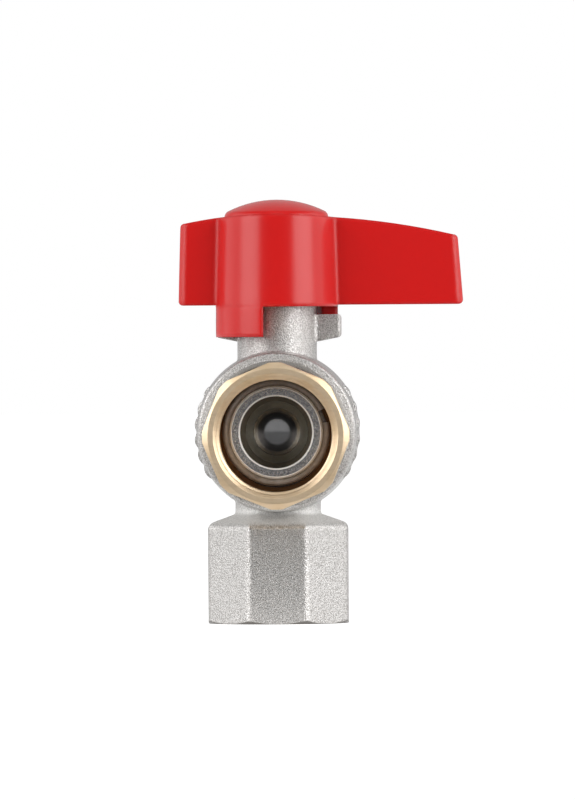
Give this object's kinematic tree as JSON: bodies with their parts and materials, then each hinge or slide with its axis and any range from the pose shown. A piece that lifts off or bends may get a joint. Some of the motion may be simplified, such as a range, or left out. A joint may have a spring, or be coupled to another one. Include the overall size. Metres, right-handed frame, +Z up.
{
  "type": "angle ball valve",
  "caption": "Angle ball valve with a threaded socket below, a loose union nut at the front and a red lever handle on top.",
  "frame": {"origin": "centre of the bottom port's mouth", "axes": "+Z up along the stem's axis, -Y out of the union, +X towards the handle's long wing"},
  "size_m": [0.0508, 0.0406, 0.0756],
  "materials": {
    "nickel": "forged brass, shot-blast and nickel plated, matt",
    "turned_nickel": "turned brass, nickel plated",
    "rubber": "black sealing rubber",
    "ptfe": "white PTFE",
    "ball_chrome": "polished, chromed brass ball",
    "stem_brass": "turned bare brass",
    "red_lacquer": "red lacquer with a soft gloss",
    "zinc_steel": "zinc plated steel",
    "red_plastic": "red moulded plastic with a soft gloss",
    "ring_bronze": "bronze wire",
    "nut_brass": "turned and milled bare brass"
  },
  "bodies": {
    "housing": {"body": "nickel", "end_connector": "turned_nickel", "connector_o_ring": "rubber", "front_seat": "ptfe", "rear_seat": "ptfe", "stem_thrust_washer": "ptfe", "retaining_ring": "ring_bronze"},
    "spindle": {"ball": "ball_chrome", "stem": "stem_brass", "stem_o_ring_lower": "rubber", "stem_o_ring_upper": "rubber", "handle": "red_lacquer", "lock_washer": "zinc_steel", "handle_screw": "zinc_steel", "handle_cap": "red_plastic"},
    "nut": {"union_nut": "nut_brass"}
  },
  "joints": [
    {"name": "handle_turn", "type": "hinge", "parent": "housing", "child": "spindle", "pos_m": [0, 0, 0.055], "axis": [0, 0, 1], "range_deg": [0, 90]},
    {"name": "nut_spin", "type": "hinge", "parent": "housing", "child": "nut", "pos_m": [0, -0.0231, 0.0336], "axis": [0, -1, 0], "continuous": true}
  ]
}
